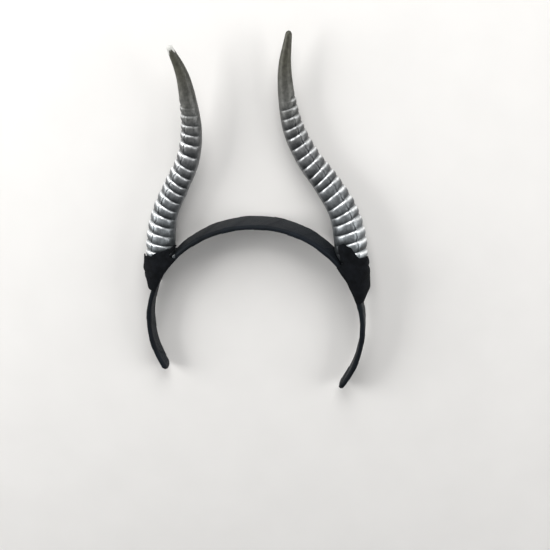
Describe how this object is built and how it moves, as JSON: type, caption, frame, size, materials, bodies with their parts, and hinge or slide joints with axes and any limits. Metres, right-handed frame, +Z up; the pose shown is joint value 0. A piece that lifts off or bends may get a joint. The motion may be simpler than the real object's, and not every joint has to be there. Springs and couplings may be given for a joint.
{
  "type": "horn headband",
  "caption": "Black ribbon-wound headband with long ribbed pewter gazelle-style horns, bound on with black felt wraps, lying on its back.",
  "frame": {"origin": "on the floor under the middle of the whole, as it lies on its back", "axes": "+Y from the band's ends towards the horns' tips, +Z up from the floor through the front of the horns, +X across, to the viewer's right"},
  "size_m": [0.1826, 0.2858, 0.0367],
  "materials": {
    "ribbon": "black satin ribbon, wound",
    "pewter_paint": "pewter paint on moulded plastic",
    "felt": "black felt"
  },
  "bodies": {
    "root": {"headband": "ribbon", "horn_left": "pewter_paint", "horn_right": "pewter_paint", "wrap_left": "felt", "wrap_right": "felt"}
  },
  "joints": []
}
